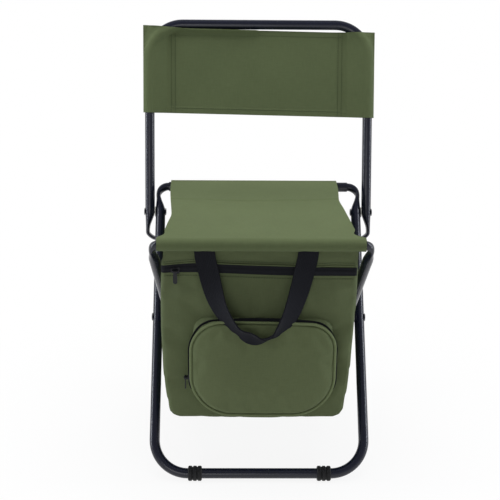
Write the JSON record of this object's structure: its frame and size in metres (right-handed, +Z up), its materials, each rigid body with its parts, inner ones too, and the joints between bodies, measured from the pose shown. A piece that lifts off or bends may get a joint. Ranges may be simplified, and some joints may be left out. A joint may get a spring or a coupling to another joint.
{
  "type": "folding cooler stool",
  "caption": "Folding steel-tube stool with scissor legs, a fold-down cloth backrest and a zipped cooler bag, with front pocket and carry handle, hung between the legs under the cloth seat.",
  "frame": {"origin": "on the floor, in the middle of the stool's width and depth", "axes": "+X to the right seen from the front, +Y to the back, +Z up"},
  "size_m": [0.3616, 0.3538, 0.6171],
  "materials": {
    "painted_tube": "black powder coat, half gloss",
    "rivet_steel": "blackened steel",
    "washer_nylon": "natural nylon",
    "foot_rubber": "moulded black rubber",
    "seat_cloth": "coarse plain-weave polyester, olive green",
    "bag_cloth": "coarse plain-weave polyester over thin foam, olive green",
    "piping_cloth": "olive green piping",
    "zip_tape": "black zip tape",
    "zip_metal": "black enamelled zinc",
    "liner_foil": "silver foil film",
    "webbing": "black ribbed webbing"
  },
  "bodies": {
    "leg_pivots": {"leg_rivet_left": "rivet_steel", "leg_rivet_right": "rivet_steel", "leg_washer_left": "washer_nylon", "leg_washer_right": "washer_nylon"},
    "rear_legs": {"rear_leg_tube": "painted_tube", "front_seat_rail": "painted_tube", "rear_foot_left": "foot_rubber", "rear_foot_right": "foot_rubber", "seat_front_sleeve": "seat_cloth"},
    "front_legs": {"front_leg_tube": "painted_tube", "rear_seat_rail": "painted_tube", "front_foot_left": "foot_rubber", "front_foot_right": "foot_rubber", "seat_rear_sleeve": "seat_cloth", "backrest_rivet_left": "rivet_steel", "backrest_rivet_right": "rivet_steel", "backrest_washer_left": "washer_nylon", "backrest_washer_right": "washer_nylon"},
    "backrest": {"backrest_tube": "painted_tube", "backrest_cloth": "seat_cloth"},
    "bag": {"bag_gusset": "bag_cloth", "bag_liner": "liner_foil", "bag_lid": "bag_cloth", "seat_panel": "seat_cloth"},
    "bag_front": {"bag_front_panel": "bag_cloth", "bag_front_band": "bag_cloth", "main_zip_tape": "zip_tape", "pocket_shell": "bag_cloth", "pocket_piping": "piping_cloth", "pocket_zip_tape": "zip_tape"},
    "bag_rear": {"bag_rear_panel": "bag_cloth"},
    "main_zip_slider": {"main_zip_slider": "zip_metal"},
    "main_zip_pull": {"main_zip_pull": "zip_metal"},
    "pocket_zip_slider": {"pocket_zip_slider": "zip_metal"},
    "pocket_zip_pull": {"pocket_zip_pull": "zip_metal"},
    "carry_handle": {"carry_handle": "webbing"}
  },
  "joints": [
    {"name": "fold", "type": "hinge", "parent": "leg_pivots", "child": "rear_legs", "pos_m": [0, -0.01438, 0.19387], "axis": [-1, 0, 0], "range_deg": [0, 36.5], "deforming": ["bag_gusset", "bag_liner", "bag_lid", "seat_panel"]},
    {"name": "front_leg_fold", "type": "hinge", "parent": "leg_pivots", "child": "front_legs", "pos_m": [0, -0.01438, 0.19387], "axis": [1, 0, 0], "range_deg": [0, 36.5]},
    {"name": "backrest_fold", "type": "hinge", "parent": "front_legs", "child": "backrest", "pos_m": [0, 0.09601, 0.32708], "axis": [1, 0, 0], "range_deg": [0, 85]},
    {"name": "bag_lift", "type": "slide", "parent": "leg_pivots", "child": "bag", "axis": [0, 0, 1], "range_m": [0, 0.0301]},
    {"name": "bag_front_draw", "type": "slide", "parent": "bag", "child": "bag_front", "axis": [0, 1, 0], "range_m": [0, 0.0991]},
    {"name": "bag_rear_draw", "type": "slide", "parent": "bag", "child": "bag_rear", "axis": [0, -1, 0], "range_m": [0, 0.0991]},
    {"name": "handle_swing", "type": "hinge", "parent": "bag_front", "child": "carry_handle", "pos_m": [-0.01, -0.13758, 0.34969], "axis": [-1, 0, 0], "range_deg": [0, 60]},
    {"name": "main_zip_run", "type": "slide", "parent": "bag_front", "child": "main_zip_slider", "axis": [1, 0, 0], "range_m": [0, 0.235]},
    {"name": "main_pull_swing", "type": "hinge", "parent": "main_zip_slider", "child": "main_zip_pull", "pos_m": [-0.12, -0.14508, 0.31699], "axis": [-1, 0, 0], "range_deg": [0, 100]},
    {"name": "pocket_zip_run", "type": "slide", "parent": "bag_front", "child": "pocket_zip_slider", "axis": [0, 0, 1], "range_m": [0, 0.036]},
    {"name": "pocket_pull_swing", "type": "hinge", "parent": "pocket_zip_slider", "child": "pocket_zip_pull", "pos_m": [-0.1071, -0.14858, 0.157], "axis": [0, 1, 0], "range_deg": [0, 100]}
  ],
  "couplings": [
    {"joint": "front_leg_fold", "follows": "fold", "ratio": 1},
    {"joint": "bag_lift", "follows": "fold", "m_per_rad": 0.047092},
    {"joint": "bag_front_draw", "follows": "fold", "m_per_rad": 0.1554},
    {"joint": "bag_rear_draw", "follows": "fold", "m_per_rad": 0.1554}
  ]
}
